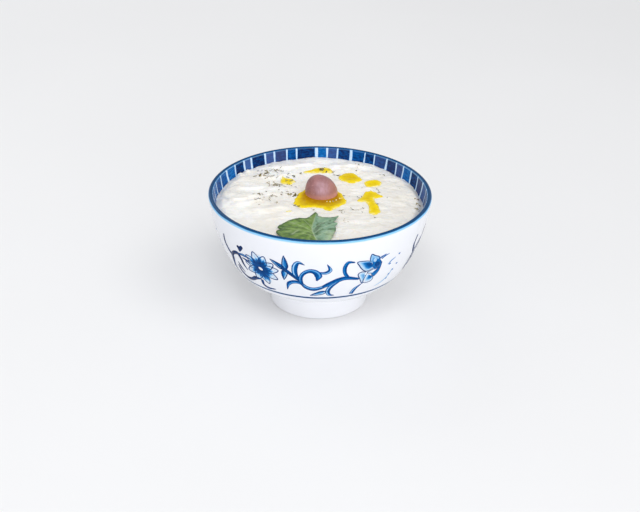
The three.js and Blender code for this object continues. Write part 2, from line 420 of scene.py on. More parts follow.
def olive_material():
    """Mauve-brown skin, darker at the top edge and pinker low down, finely mottled. A mauve sheen across its
    middle is a painted highlight, and the lighter right side is partly painted light.
    """
    graph = Graph("olive_skin")
    x, _, z = graph.separate()
    mottle = graph.noise(1.1, detail=5, roughness=0.65)
    cloud = graph.noise(6, detail=2)
    base = graph.mix(graph.ramp(cloud, 0.35, 0.65), (0.25, 0.1, 0.09), (0.36, 0.15, 0.135))
    # Lighter and browner towards the right: partly the skin's own tone, partly painted light from the right.
    base = graph.mix(graph.ramp(x, 1, 8, 0.0, 0.75), base, (0.42, 0.175, 0.11))
    # Painted sheen: a broad, uneven mauve highlight painted across the middle of the skin.
    across = graph.math("POWER", graph.math("DIVIDE", graph.minus(x, 0.8), 4.2), 2)
    upward = graph.math("POWER", graph.math("DIVIDE", graph.minus(z, DIP_LEVEL + 4.6), 3.7), 2)
    painted_sheen = graph.math("EXPONENT", graph.times(graph.plus(across, upward), -1.0))
    uneven = graph.noise(1.6, stretch=(1.6, 1, 0.5), detail=4)
    painted_sheen = graph.times(painted_sheen, graph.ramp(uneven, 0.2, 0.75, 0.35, 0.95))
    base = graph.mix(painted_sheen, base, (0.52, 0.31, 0.38))
    base = graph.mix(graph.ramp(mottle, 0.5, 0.85), base, (0.5, 0.26, 0.26))
    low = graph.ramp(graph.plus(z, cloud), DIP_LEVEL + 0.4, DIP_LEVEL + 3.4, 0.7, 0.0)
    base = graph.mix(low, base, (0.72, 0.35, 0.31))
    graph.set(Base_Color=base, Roughness=graph.ramp(mottle, 0.3, 0.7, 0.32, 0.44), IOR=1.5)
    graph.set(Normal=graph.bump(graph.noise(0.7, detail=4), 0.08))
    return graph.material


def leaf_material():
    """Parsley, streaked along its veins. Painted light: one side of the midrib is yellow-green as lit, the
    other paler and bluish as a painted sheen, and the dark attribute holds painted shade in the hollow of the
    cup.
    """
    graph = Graph("parsley_leaf")
    blotch = graph.noise(3.5, detail=3)
    left = graph.mix(graph.ramp(blotch, 0.35, 0.7), (0.12, 0.21, 0.03), (0.2, 0.33, 0.06))
    right = graph.mix(graph.ramp(blotch, 0.35, 0.7), (0.17, 0.31, 0.19), (0.27, 0.43, 0.3))
    # Painted light: the side attribute picks the lit yellow-green half or the paler, bluish half with painted
    # sheen.
    colour = graph.mix(graph.attribute("side"), left, right)
    # The dark attribute: darker streaks and a darker edge, with painted shade in the cupped hollow.
    colour = graph.mix(graph.times(graph.attribute("dark"), 0.85), colour, (0.045, 0.1, 0.025))
    colour = graph.mix(graph.times(graph.attribute("pale"), 0.6), colour, (0.45, 0.55, 0.33))
    graph.set(Base_Color=colour, Roughness=graph.ramp(blotch, 0.3, 0.7, 0.36, 0.5), IOR=1.42)
    graph.set(Normal=graph.bump(graph.noise(0.5, detail=2), 0.05))
    graph.set(Subsurface_Weight=0.1, Subsurface_Radius=(0.4, 1.0, 0.2), Subsurface_Scale=0.6 * MM)
    return graph.material


def herb_material():
    """Dried herb: each flake has its own tone, from straw through olive green to dark brown."""
    graph = Graph("dried_herb")
    tone = graph.plus(graph.attribute("tone"), graph.times(graph.noise(0.5), 0.15))
    colour = graph.colours(
        tone,
        (0.05, (0.045, 0.034, 0.012)),
        (0.4, (0.15, 0.118, 0.038)),
        (0.7, (0.28, 0.225, 0.085)),
        (1.0, (0.5, 0.42, 0.26)),
    )
    graph.set(Base_Color=colour, Roughness=0.7)
    return graph.material


def floor_material():
    graph = Graph("studio_floor")
    tint = graph.ramp(graph.noise(300), 0.3, 0.7)
    graph.set(Base_Color=graph.mix(tint, (0.845, 0.84, 0.835), (0.86, 0.855, 0.85)), Roughness=0.5)
    graph.set(Specular_IOR_Level=0.3)
    return graph.material


# ---------- Bowl ----------
OUTER_CURVE = (1.27, 2.87)
INNER_CURVE = (1.27, 4.8)


def wall_radius(curve, bottom, from_radius, to_radius, z):
    """The wall's radius at a height: the same rising curve that the CAD bowl has."""
    rise, flare = curve
    s = np.clip((z - bottom) / (WALL_TOP - bottom), 0, 1)
    return from_radius + (to_radius - from_radius) * (1 - (1 - s) ** rise) ** (1 / flare)


def outer_radius(z):
    return wall_radius(OUTER_CURVE, FOOT_HEIGHT, FOOT_TOP_RADIUS, RIM_RADIUS, z)


def inner_radius(z):
    return wall_radius(INNER_CURVE, FLOOR_HEIGHT, 0, RIM_RADIUS - LIP, z)


def arc(cx, cz, radius, start, end, steps):
    a = np.linspace(start, end, steps + 1)
    return np.c_[cx + radius * np.cos(a), cz + radius * np.sin(a)]


def crowded(low, high, steps, power):
    """Heights that lie closer together towards low."""
    return low + (high - low) * np.linspace(0, 1, steps + 1) ** power


def wall_points(radius_at, heights):
    return np.c_[radius_at(heights), heights]


def bowl_profile():
    """The outside profile from the recess to the top of the lip, and the inside one on from there."""
    foot_inner = FOOT_RADIUS - FOOT_WALL
    half_lip = LIP / 2
    joint = 1.1
    outside = wall_points(outer_radius, crowded(FOOT_HEIGHT, WALL_TOP, 60, 2.0))
    outside = outside[outside[:, 0] > FOOT_TOP_RADIUS + joint]
    foot_top = [[FOOT_TOP_RADIUS - 0.05, FOOT_HEIGHT - joint], [FOOT_TOP_RADIUS + 0.2, FOOT_HEIGHT - 0.35]]
    outer = np.vstack(
        [
            [[0, RECESS_DEPTH], [8, RECESS_DEPTH], [foot_inner - RECESS_BEVEL - 0.6, RECESS_DEPTH]],
            arc(foot_inner - RECESS_BEVEL, RECESS_DEPTH - RECESS_BEVEL, RECESS_BEVEL, math.pi / 2, 0, 8),
            arc(foot_inner + FOOT_EDGE, FOOT_EDGE, FOOT_EDGE, math.pi, 1.5 * math.pi, 5),
            arc(FOOT_RADIUS - FOOT_EDGE, FOOT_EDGE, FOOT_EDGE, 1.5 * math.pi, TAU, 5),
            foot_top,
            outside,
            arc(RIM_RADIUS - half_lip, WALL_TOP, half_lip, 0, math.pi / 2, 8)[1:],
        ]
    )
    inner = np.vstack(
        [
            arc(RIM_RADIUS - half_lip, WALL_TOP, half_lip, math.pi / 2, math.pi, 8)[1:],
            wall_points(inner_radius, crowded(FLOOR_HEIGHT, WALL_TOP, 36, 1.8)[::-1])[1:],
        ]
    )
    return outer, inner


def make_bowl(segments=256):
    outer, inner = bowl_profile()
    profile = np.vstack([outer, inner])[1:-1]
    angles = np.arange(segments) / segments * TAU
    rings = [np.c_[r * np.cos(angles), r * np.sin(angles), np.full(segments, z)] for r, z in profile]
    points = np.vstack([[[0, 0, RECESS_DEPTH]], *rings, [[0, 0, FLOOR_HEIGHT]]])
    faces = capped_rings(len(profile), segments)
    bowl = new_object("porcelain_bowl", points, faces, (glaze_outside_material(), glaze_inside_material()))
    inside = np.arange(len(faces)) >= (len(outer) - 1) * segments
    bowl.data.polygons.foreach_set("material_index", inside.astype(np.int32))
    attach(bowl, "root")
    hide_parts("bowl")
    return bowl


# ---------- Painted scroll ----------
# The painting is laid out flat: a is the way round the wall, in millimetres at ROUND_RADIUS, and z is up.
ROUND_RADIUS = 50.0
REPEATS = 3
REPEAT_WIDTH = TAU * ROUND_RADIUS / REPEATS
PAINT_DEPTH = 0.05
PAINTING_TURN = 0.3
PAINTING_DROP = 1.1


def on_wall(a, z, lift):
    """Points of the outside wall, lifted off it by lift."""
    step = 0.05
    slope = (outer_radius(z + step) - outer_radius(z - step)) / (2 * step)
    length = np.sqrt(1 + slope**2)
    radius = outer_radius(z) + lift / length
    turn = a / ROUND_RADIUS
    return np.c_[radius * np.sin(turn), -radius * np.cos(turn), z - lift * slope / length]


class Painting:
    """Collects patches of paint, each a thin closed shell that follows the wall."""

    def __init__(self):
        self.points = []
        self.faces = []
        self.tones = []
        self.flat = []
        self.count = 0

    def patch(self, a, z, tone, lift):
        """A grid of rows and columns of points laid on the wall."""
        rows, columns = a.shape
        size = rows * columns
        # Patches that touch lie at slightly different heights, so that their shells share no edge.
        lift = lift + 0.001 * (len(self.points) // 2 % 3)
        for height in (lift, lift - PAINT_DEPTH):
            self.points.append(on_wall(a.ravel() + PAINTING_TURN, z.ravel() - PAINTING_DROP, height))
            self.tones.append(tone.ravel())
        at = np.arange(size).reshape(rows, columns) + self.count
        if self.area(a, z) < 0:
            at = at[:, ::-1]
        cells = grid_cells(at)
        edges = pairs_round(grid_border(at))
        self.faces += shell_faces(cells, edges, size)
        self.flat += [False] * (2 * len(cells)) + [True] * len(edges)
        self.count += 2 * size

    @staticmethod
    def area(a, z):
        """The grid's area, below zero if its cells run clockwise as seen from outside the bowl."""
        across = (a[:-1, 1:] - a[:-1, :-1], z[:-1, 1:] - z[:-1, :-1])
        down = (a[1:, :-1] - a[:-1, :-1], z[1:, :-1] - z[:-1, :-1])
        return float(np.sum(across[0] * down[1] - across[1] * down[0]))

    def stroke(self, points, widths, tone=0.88, streak=None, side=1, lift=0.09, steps=7):
        """A brush stroke along a curve, with a paler streak along the left or right (side 1 or -1) of it."""
        curve = spline(points, steps)
        along = np.gradient(curve, axis=0)
        along /= np.maximum(np.linalg.norm(along, axis=1), 1e-9)[:, None]
        normal = np.c_[-along[:, 1], along[:, 0]]
        t = np.linspace(0, 1, len(curve))
        width = np.interp(t, np.linspace(0, 1, len(widths)), widths)
        across = np.array([-0.5, 0, 0.5] if streak is None else [-0.5, -0.25, 0.02, 0.14, 0.25, 0.35, 0.5])
        grid = curve[:, None, :] + side * normal[:, None, :] * (width[:, None] * across)[:, :, None]
        shade = np.full(grid.shape[:2], tone)
        if streak is not None:
            shown = smoothstep(0.8, 1.5, width) * smoothstep(0, 0.12, t) * (1 - smoothstep(0.8, 1, t))
            paler = np.array([0, 0, 0.2, 0.9, 1, 0.2, 0])
            shade = tone + (streak - tone) * shown[:, None] * paler
        self.patch(grid[:, :, 0], grid[:, :, 1], shade, lift)

    def shape(self, root, corners, root_tone, edge_tone, outline=0.5, lift=0.05, soft=1.0):
        """A petal or leaf fanned out from its root to a rounded edge, with a dark outline."""
        root = np.array(root, float)
        edge = spline(corners, 5)
        share = np.linspace(0.03, 1, 7)[:, None, None]
        grid = root + (edge - root) * share
        shade = root_tone + (edge_tone - root_tone) * smoothstep(0.1, 0.95, share[:, :, 0] ** soft)
        self.patch(grid[:, :, 0], grid[:, :, 1], shade * np.ones(grid.shape[:2]), lift)
        if outline:
            middle = [outline] * 5
            self.stroke(corners, [outline * 0.5, *middle, outline * 0.5], tone=0.9, lift=lift + 0.04, steps=5)

    def leaf(self, root, tip, width, root_tone, tip_tone):
        """A pointed leaf whose two edges bow out between root and tip."""
        root = np.array(root, float)
        axis = np.array(tip, float) - root
        normal = np.array([-axis[1], axis[0]]) / np.linalg.norm(axis)
        for side in (1, -1):
            edge = [root]
            for t, reach in ((0.3, 0.95), (0.65, 0.7)):
                edge.append(root + axis * t + normal * side * reach * width / 2)
            edge.append(root + axis)
            half = edge if side < 0 else edge[::-1]
            edge_tone = tip_tone if side > 0 else root_tone
            self.shape(root + axis * 0.45, half, (root_tone + tip_tone) / 2, edge_tone)

    def oval(self, centre, radii, turn, tone, lift):
        """A filled oval, as rings round its centre."""
        angle = np.linspace(0, TAU, 25)[:-1]
        share = np.linspace(0.04, 1, 4)[:, None]
        u = radii[0] * np.cos(angle) * share
        v = radii[1] * np.sin(angle) * share
        a = centre[0] + u * math.cos(turn) - v * math.sin(turn)
        z = centre[1] + u * math.sin(turn) + v * math.cos(turn)
        half = len(angle) // 2
        for part in (slice(0, half + 1), np.r_[half : len(angle), 0]):
            self.patch(a[:, part], z[:, part], np.full(a[:, part].shape, tone), lift)

    def object(self, material):
        painting = new_object("cobalt_scroll", np.vstack(self.points), self.faces, (material,))
        painting.data.attributes.new("sharp_face", "BOOLEAN", "FACE").data.foreach_set("value", self.flat)
        set_attribute(painting, "tone", np.concatenate(self.tones))
        return painting


def paint_open_flower(paint, at):
    """A flower seen from the front: pale pointed petals round a dark middle with a white eye."""
    a, z = at
    right = ((-2.8, 9.6), (3.0, 8.6), (7.2, 5.2), (9.4, 1.8), (8.2, -4.6))
    left = ((2.4, -9.6), (-4.4, -8.6), (-8.6, -4.4), (-9.0, 0.8), (-7.6, 5.6))
    for da, dz in right + left:
        length = math.hypot(da, dz)
        ua, uz = da / length, dz / length
        bow = [(0.35, 2.3), (0.7, 1.9), (1.0, 0.0), (0.7, -1.9), (0.35, -2.3)]
        edge = [(a + da * t - uz * w, z + dz * t + ua * w) for t, w in bow]
        paint.shape((a + da * 0.2, z + dz * 0.2), edge, 0.66, 0.08, outline=0.5)
    angle = np.linspace(0, TAU, 73)
    share = np.linspace(0.05, 1, 9)[:, None]
    ragged = 1 + 0.1 * np.cos(5 * angle + 1) + 0.06 * np.cos(9 * angle)
    reach = share * ragged * np.hypot(6.6 * np.cos(angle), 8.2 * np.sin(angle))
    shade = 0.9 - 0.88 * smoothstep(0.5, 1.04, share + 0.07 * np.cos(17 * angle) + 0.04 * np.cos(29 * angle))
    turn = angle + 0.2
    for part in (slice(0, 37), slice(36, 73)):
        grid_a = a + (reach * np.cos(turn))[:, part]
        grid_z = z + (reach * np.sin(turn))[:, part]
        paint.patch(grid_a, grid_z, shade[:, part], 0.075)
    paint.oval((a - 0.1, z - 0.1), (1.2, 0.85), -0.5, 0.0, 0.13)


def paint_side_flower(paint, at):
    """A flower seen from the side, with five broad petals shaded on one side."""
    a, z = at

    def place(*points):
        return [(a + da, z + dz) for da, dz in points]

    top = place((-2.6, 3.7), (-2.8, 6.5), (-2.3, 8.7), (-0.5, 7.4), (1.7, 6.1), (2.3, 3.9))
    paint.shape((a + 0.2, z + 2.6), top, 0.7, 0.3)
    left = place((-1.6, 4.2), (-4.6, 5.2), (-8.7, 5.4), (-7.6, 2.8), (-5.8, 0.0), (-3.4, -1.7), (0.2, -0.4))
    paint.shape((a - 1.4, z + 2.4), left, 0.84, 0.1, soft=1.5)
    low_left = place((-3.7, -2.2), (-5.9, -1.6), (-7.5, -2.9), (-6.1, -6.3), (-4.2, -10.0), (-4.0, -7.4))
    paint.shape((a - 4.2, z - 4.6), low_left + place((-3.1, -3.5)), 0.5, 0.1)
    lower = place((-3.1, -3.5), (-4.0, -7.4), (-3.4, -9.6), (-0.1, -9.8), (1.25, -8.0), (0.3, -5.0))
    paint.shape((a - 0.2, z - 5.6), lower, 0.78, 0.04, outline=0.35)
    right = place((-1.0, -1.8), (1.0, -0.6), (3.8, 2.3), (3.5, -3.6), (1.1, -6.6), (-0.6, -4.2))
    paint.shape((a + 2.2, z - 1.8), right, 0.84, 0.6, outline=0.3)
    inner = place((0.9, -0.8), (-3.0, -2.8), (0.2, -4.0))
    paint.shape((a - 0.4, z - 2.4), inner, 0.02, 0.2, outline=0.35, lift=0.08)
    paint.oval((a + 1.2, z + 1.8), (2.5, 2.9), 0.3, 0.72, 0.1)
    paint.oval((a + 1.6, z + 1.4), (1.3, 1.8), 0.3, 0.86, 0.12)
    paint.oval((a - 0.2, z + 4.6), (0.8, 1.2), 0.2, 0.25, 0.13)
    paint.stroke(place((1.8, 4.4), (3.4, 5.6), (5.6, 6.4)), [0.9, 0.8, 0.3], tone=0.75, lift=0.1)


def paint_motif(paint, a):
    """One repeat of the scroll, with its middle at a."""

    def shift(*points):
        return [(a + da, z) for da, z in points]

    def vine(side, widths, *points, streak=0.36):
        paint.stroke(shift(*points), widths, tone=0.85, streak=streak, side=side)

    def ink(tone, widths, *points):
        paint.stroke(shift(*points), widths, tone=tone)

    # Vine that climbs from the bottom middle to the flower on the right.
    vine(1, [1.6, 2.3, 2.5, 2.2, 1.4], (-8.8, 37.2), (-6.4, 34.2), (-3.0, 33.0), (0.8, 34.2), (3.4, 36.0))
    climbing = ((1.6, 34.8), (4.4, 36.6), (8.6, 39.2), (12.6, 40.2), (19.0, 38.4))
    vine(-1, [1.8, 2.7, 2.9, 2.5, 1.3], *climbing, streak=0.58)
    # Spiral that rises from the vine and curls in to a bulb.
    rise = ((-8.4, 36.0), (-8.7, 40.4), (-7.2, 43.8), (-4.4, 45.6), (-1.8, 44.9), (-0.5, 42.4), (-1.3, 39.2))
    vine(1, [1.8, 1.9, 2.0, 2.4, 3.1, 3.6, 0.7], *rise, streak=0.42)
    tendril = ((-3.0, 46.0), (0.8, 44.4), (3.4, 44.8), (4.7, 46.6), (3.3, 50.0))
    vine(-1, [0.8, 1.5, 2.0, 1.9, 0.3], *tendril, streak=0.25)
    # Curled leaf at the foot of the spiral, on its left.
    vine(1, [1.0, 2.3, 2.2, 0.3], (-7.6, 36.0), (-11.4, 37.4), (-14.8, 35.6), (-16.3, 30.8), streak=0.45)
    # Diagonal stem with three pointed leaves.
    ink(0.9, [0.4, 2.2, 1.9, 1.7], (-20.0, 47.8), (-15.7, 44.6), (-12.4, 41.6), (-8.4, 37.8))
    paint.leaf((a - 15.2, 44.4), (a - 22.6, 49.8), 2.6, 0.86, 0.3)
    paint.leaf((a - 15.4, 44.2), (a - 15.8, 53.6), 2.7, 0.9, 0.35)
    paint.leaf((a - 15.8, 45.4), (a - 17.0, 37.6), 2.8, 0.95, 0.2)
    # Curled leaf above the stem.
    curl = ((-9.6, 38.8), (-11.2, 43.2), (-11.0, 47.6), (-9.4, 50.4), (-6.6, 49.3))
    vine(1, [1.4, 2.7, 2.8, 2.0, 0.3], *curl, streak=0.25)
    # Curl under the vine and the long leaf beside it.
    curl = ((9.4, 38.8), (5.7, 35.2), (4.2, 31.6), (5.2, 28.6), (7.8, 28.0))
    vine(-1, [1.2, 2.2, 2.4, 1.9, 0.3], *curl, streak=0.25)
    paint.leaf((a + 4.2, 31.6), (a - 4.8, 27.8), 2.6, 0.8, 0.15)
    # Open curl above the vine.
    curl = ((13.4, 40.2), (11.5, 44.0), (11.3, 47.6), (12.6, 50.3), (15.6, 50.0))
    vine(1, [1.7, 1.8, 1.9, 1.8, 0.6], *curl, streak=0.55)
    paint_side_flower(paint, (a + 25.6, 44.4))
    vine(1, [2.3, 2.1, 0.5], (16.9, 27.6), (18.2, 31.4), (21.0, 34.2), streak=0.25)
    # Faint tendrils and dots on the right of the side flower.
    ink(0.7, [0.7, 0.8, 0.2], (29.0, 48.6), (30.8, 49.8), (33.0, 50.4))
    ink(0.5, [0.3, 0.7, 0.2], (34.0, 43.0), (35.6, 44.8), (38.0, 46.2))
    ink(0.34, [0.2, 0.6, 0.6, 0.2], (30.4, 29.4), (34.6, 31.2), (37.4, 34.4), (38.6, 38.4))
    for da, z in ((35.2, 43.0), (38.8, 37.6), (37.3, 35.2), (36.6, 32.6), (40.4, 41.0), (40.0, 47.4)):
        paint.oval((a + da, z), (0.6, 0.45), 0.5, 0.62, 0.1)
    # Thin vine, arch and bud on the left of the open flower.
    upper = ((-51.4, 52.2), (-52.2, 47.0), (-50.6, 43.0), (-48.6, 40.6))
    lower = ((-50.0, 35.6), (-51.2, 31.6), (-48.4, 28.6))
    ink(0.96, [0.9, 1.4, 1.8, 2.4, 1.6, 1.2, 0.5], *upper, *lower)
    arch = shift((-49.0, 39.8), (-46.6, 43.2), (-42.6, 45.0), (-40.8, 42.4), (-40.2, 39.2), (-38.4, 36.0))
    paint.stroke(arch, [1.4, 2.0, 2.2, 1.7, 1.4, 0.4], tone=0.97)
    ink(0.97, [0.4, 1.5, 0.4], (-44.6, 38.6), (-43.8, 35.6), (-42.0, 32.8))
    low = shift((-46.0, 36.0), (-45.2, 31.8), (-42.4, 29.4), (-38.6, 29.8), (-34.4, 32.6), (-30.6, 33.4))
    paint.stroke(low, [0.8, 1.8, 2.1, 2.0, 2.3, 0.8], tone=0.97)
    for da, z in ((-40.5, 49.8), (-38.4, 50.5), (-39.5, 49.3)):
        paint.oval((a + da, z), (1.1, 0.95), 0.3, 0.98, 0.06)
    heart = shift((-41.5, 49.7), (-41.1, 48.5), (-40.3, 47.0), (-38.8, 48.3), (-37.3, 50.3))
    paint.shape((a - 39.5, 49.4), heart, 0.98, 0.98, outline=0)
    paint.stroke(shift((-42.4, 45.0), (-38.0, 45.8), (-33.6, 45.2)), [0.8, 1.6, 0.5], tone=0.92, streak=0.3)
    ink(0.92, [0.4, 1.6, 0.3], (-39.4, 43.8), (-36.4, 43.0), (-34.4, 41.4))
    paint_open_flower(paint, (a - 28.6, 41.4))
    ink(0.92, [1.6, 1.6, 1.6, 0.5], (-30.2, 33.2), (-30.4, 29.4), (-28.0, 27.8), (-23.6, 28.4))


def make_painting():
    paint = Painting()
    for k in range(REPEATS):
        paint_motif(paint, k * REPEAT_WIDTH)
    painting = paint.object(painting_material())
    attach(painting, "root")
    return painting


# ---------- Dip ----------
# The CAD dip's ridges: centre, radius, first and last direction, height, and the inner and outer flanks.
RIDGES = [
    (-38, 20, 19, 3.5, 5.3, 1.3, 7, 2.2),
    (-38, 20, 27.5, 4.1, 5.4, 1.1, 4.2, 1.9),
    (-38, 20, 34.5, 4.5, 5.6, 1.0, 4.5, 2.2),
    (-30, 14, 14, 0.9, 3.2, 1.1, 6, 2.6),
    (4, 4, 38, 0.9, 2.2, 0.7, 3.8, 2.6),
    (12, 2, 31, 0.2, 1.1, 0.5, 4.0, 3.0),
    (12, -4, 29, 4.9, 6.1, 0.6, 4.4, 2.8),
]
RIDGE_FADE = 0.5
HOLLOW = (1.5, 1, 15, 0.9)
# Folds left by the spoon: a line along the crest, its height, and the widths of its far and near flanks.
FOLDS = [
    ([(-51, 5), (-47, -3), (-41, -4), (-35, 0), (-28, 4)], 1.3, 5.5, 0.7),
    ([(-47, -9), (-39, -9), (-33, -5), (-27, -4)], 1.0, 3.6, 0.6),
    ([(-38, -14), (-29, -15.5), (-22, -13), (-15, -9.5)], 1.1, 4.2, 0.7),
    ([(-30, -24), (-22, -22.5), (-15, -19)], 0.6, 3.4, 0.8),
    ([(-47, 17), (-42, 12), (-35, 11.5), (-28, 15)], 0.8, 5.0, 0.8),
    ([(-36, 28), (-29, 24.5), (-22, 27), (-15, 33)], 0.7, 4.5, 0.8),
    ([(-30, 42), (-20, 39.5), (-10, 43), (2, 44)], 0.8, 3.6, 0.9),
    ([(2, 29.5), (8, 41), (18, 42.5), (28, 38)], 0.7, 3.6, 0.9),
    ([(14, 14.5), (22, 13.5), (30, 13.5)], 0.5, 2.4, 0.7),
    ([(31, 1), (38, -1.5), (46, -6)], 0.5, 3.0, 0.8),
    ([(11, -22), (22, -25), (33, -20)], 0.6, 3.6, 0.8),
    ([(9, -34), (20, -36), (30, -32)], 0.5, 3.4, 0.8),
]
# Small peaks that the spoon pulled up: place, height and radius.
PEAKS = [
    (-43.5, 29.5, 1.9, 2.2),
    (-39.5, 34.0, 1.3, 1.7),
    (-46.8, 20.5, 0.8, 3.0),
    (-6, 47.5, 0.5, 4),
    (24, 42, 0.4, 4),
]


def nearest_on_curve(x, y, curve):
    """The distance from points to a curve, the side of it (1 left, -1 right) and how far along it that is."""
    closest = np.full(np.shape(x), 1e9)
    side = np.zeros(np.shape(x))
    place = np.zeros(np.shape(x))
    for number, ((ax, ay), (bx, by)) in enumerate(zip(curve[:-1], curve[1:])):
        dx, dy = bx - ax, by - ay
        t = np.clip(((x - ax) * dx + (y - ay) * dy) / (dx * dx + dy * dy), 0, 1)
        away = np.hypot(x - ax - t * dx, y - ay - t * dy)
        nearer = away < closest
        closest = np.where(nearer, away, closest)
        side = np.where(nearer, np.sign((y - ay) * dx - (x - ax) * dy), side)
        place = np.where(nearer, (number + t) / (len(curve) - 1), place)
    return closest, side, place


def fold_height(x, y):
    """Each fold falls gently behind its crest and steeply in front of it."""
    total = np.zeros_like(x)
    for corners, height, far, near in FOLDS:
        closest, side, place = nearest_on_curve(x, y, spline(corners, 5))
        ends = smoothstep(0, 0.28, place) * (1 - smoothstep(0.72, 1, place))
        total = total + 1.4 * height * ends * np.exp(-((closest / np.where(side > 0, far, near)) ** 2))
    return total


def ridge_height(x, y):
    total = fold_height(x, y)
    for cx, cy, radius, start, end, height, inner, outer in RIDGES:
        angle = np.arctan2(y - cy, x - cx) % TAU
        across = np.hypot(x - cx, y - cy) - radius + 0.9 * value_noise(x / 7, y / 7, 5)
        width = np.where(across < 0, inner, outer)
        ends = smoothstep(start, start + RIDGE_FADE, angle) * (1 - smoothstep(end - RIDGE_FADE, end, angle))
        total = total + 0.7 * height * ends * np.exp(-((across / width) ** 2))
    return total


def dip_base(x, y):
    """The dip's surface without its fine relief."""
    wall = inner_radius(DIP_LEVEL)
    radius = np.hypot(x, y)
    angle = np.arctan2(y, x)
    climb = 0.7 * fractal_noise(3 * np.cos(angle) + 5, 3 * np.sin(angle) + 5, 31)
    climb = climb + 1.9 * np.exp(-(((angle - math.pi / 2) / 0.9) ** 2))
    climb = climb - 1.8 * np.exp(-(((angle + 0.1) / 0.45) ** 2))
    shoulder = smoothstep(wall - SHOULDER_WIDTH, wall, radius)
    hx, hy, reach, depth = HOLLOW
    hollow = depth * np.exp(-((np.hypot(x - hx, y - hy) / reach) ** 4))
    peaks = sum(h * np.exp(-((np.hypot(x - px, y - py) / r) ** 2)) for px, py, h, r in PEAKS)
    level = DIP_LEVEL - (SHOULDER_DROP - climb) * shoulder
    return level + (1 - shoulder) * ridge_height(x, y) + peaks - hollow


def dip_height(x, y):
    """The dip's surface with lumps, spoon streaks and grated cucumber just under it."""
    lumps = 0.7 * fractal_noise(x / 9, y / 6.5, 3)
    turn = np.arctan2(y - 20, x + 38)
    out = np.hypot(x + 38, y - 20)
    left = 1 - smoothstep(-12, 14, x)
    swept = fractal_noise(out / 2.2, turn * 2.4, 11)
    combed = fractal_noise(x / 6 + 3, y / 2.4, 13)
    shreds = np.abs(value_noise(x / 3.2 + y / 9, y / 1.2 - x / 8, 17))
    streaks = 0.17 * left * swept + 0.3 * (1 - left) * combed
    grain = 0.06 * fractal_noise(x / 1.1, y / 1.1, 23)
    calm = smoothstep(7, 15, np.hypot(x - 1, y - 3))
    return dip_base(x, y) + calm * (lumps + streaks - 0.12 * (1 - smoothstep(0, 0.25, shreds))) + grain


def disc_grid(count, radius):
    """count by count points spread evenly over a disc, whose edge is the outermost square of points."""
    u, v = np.meshgrid(np.linspace(-1, 1, count), np.linspace(-1, 1, count), indexing="ij")
    wide = np.abs(u) >= np.abs(v)
    reach = np.where(wide, u, v)
    ratio = np.divide(np.where(wide, v, u), reach, out=np.zeros_like(u), where=reach != 0)
    turn = ratio * math.pi / 4
    x = reach * np.where(wide, np.cos(turn), np.sin(turn))
    y = reach * np.where(wide, np.sin(turn), np.cos(turn))
    return radius * x, radius * y


def make_dip(count=231):
    """The surface as a fine grid, with the body below it down to the bowl's floor."""
    sink = 0.15
    edge_radius = inner_radius(DIP_LEVEL - SHOULDER_DROP) + sink
    x, y = disc_grid(count, edge_radius)
    top = np.c_[x.ravel(), y.ravel(), dip_height(x, y).ravel()]
    at = np.arange(count * count).reshape(count, count).T
    border = np.array(grid_border(at))
    sides = len(border)
    heights = crowded(FLOOR_HEIGHT + 0.3, DIP_LEVEL - SHOULDER_DROP - 1.5, 10, 2.0)[:0:-1]
    direction = top[border, :2] / edge_radius
    rings = [np.c_[direction * (inner_radius(z) + sink), np.full(sides, z)] for z in heights]
    points = np.vstack([top, *rings, [[0, 0, FLOOR_HEIGHT + 0.3]]])
    lower = len(top) + np.arange(len(heights) * sides).reshape(-1, sides)
    last = len(points) - 1
    faces = grid_cells(at) + flipped(bands(np.vstack([border, lower])))
    faces += [(a, last, b) for a, b in pairs_round(lower[-1].tolist())]
    dip = new_object("tzatziki_dip", points, faces, (dip_material(),))
    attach(dip, "root")
    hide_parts("tzatziki")
    return dip


# ---------- Thin pools of oil ----------
# Outlines of the pools, seen from above, with how thick each is in its middle and how deep its colour is.
POOLS = [
    (
        [(-11, 8.6), (-13, 0.5), (-13.2, -5.6), (-9.2, -9), (-3.6, -7.8), (1, -9), (5, -12.2)]
        + [(8.6, -8.4), (12.6, -4), (13.6, 0.6), (12.2, 6.4), (9.4, 12), (2, 17), (-6, 15.5)],
        0.6,
        0.9,
    ),
    (
        [(-20.4, 27.6), (-18.2, 26), (-14.8, 24.8), (-13.2, 21.2), (-16.6, 17.6), (-20.2, 19), (-21.4, 22.6)],
        0.4,
        0.5,
    ),
    (
        [(-9.2, 35), (-4.4, 38), (-1.6, 39.8), (3.4, 39.4), (7, 35), (2.6, 33), (-4, 33.4), (-8.4, 32.8)],
        0.35,
        0.5,
    ),
    (
        [(10, 28), (12.8, 33), (17.6, 33.8), (20.6, 29.8), (22.4, 24.6)]
        + [(18, 20.6), (12.8, 21.8), (10.2, 25)],
        0.6,
        0.78,
    ),
    ([(23.4, 21.6), (27, 24.2), (31, 24), (32.8, 20.6), (30, 16.6), (25, 17)], 0.45, 0.65),
    (
        [(19.2, -1.4), (21.6, 4.4), (23.8, 9.8), (28.4, 10.4), (32.8, 5), (28.4, 1.8), (29.8, -6.4)]
        + [(30.8, -12.4), (27.8, -16), (25, -14), (24.9, -6.8), (23.2, -2.8), (20.8, -2.9)],
        0.6,
        0.72,
    ),
    ([(-17.2, -13.6), (-15, -12.6), (-14, -14), (-16.2, -15.3)], 0.2, 0.25),
]
POOL_SINK = 0.25
# Small bubbles in the oil at the foot of the olive: place and radius.
BUBBLES = [
    (3.6, -1.4, 0.3),
    (5.2, -1.6, 0.4),
    (6.6, -0.8, 0.25),
    (8.4, 0.4, 0.38),
    (10.2, 2.2, 0.42),
    (11.4, 3.0, 0.25),
]


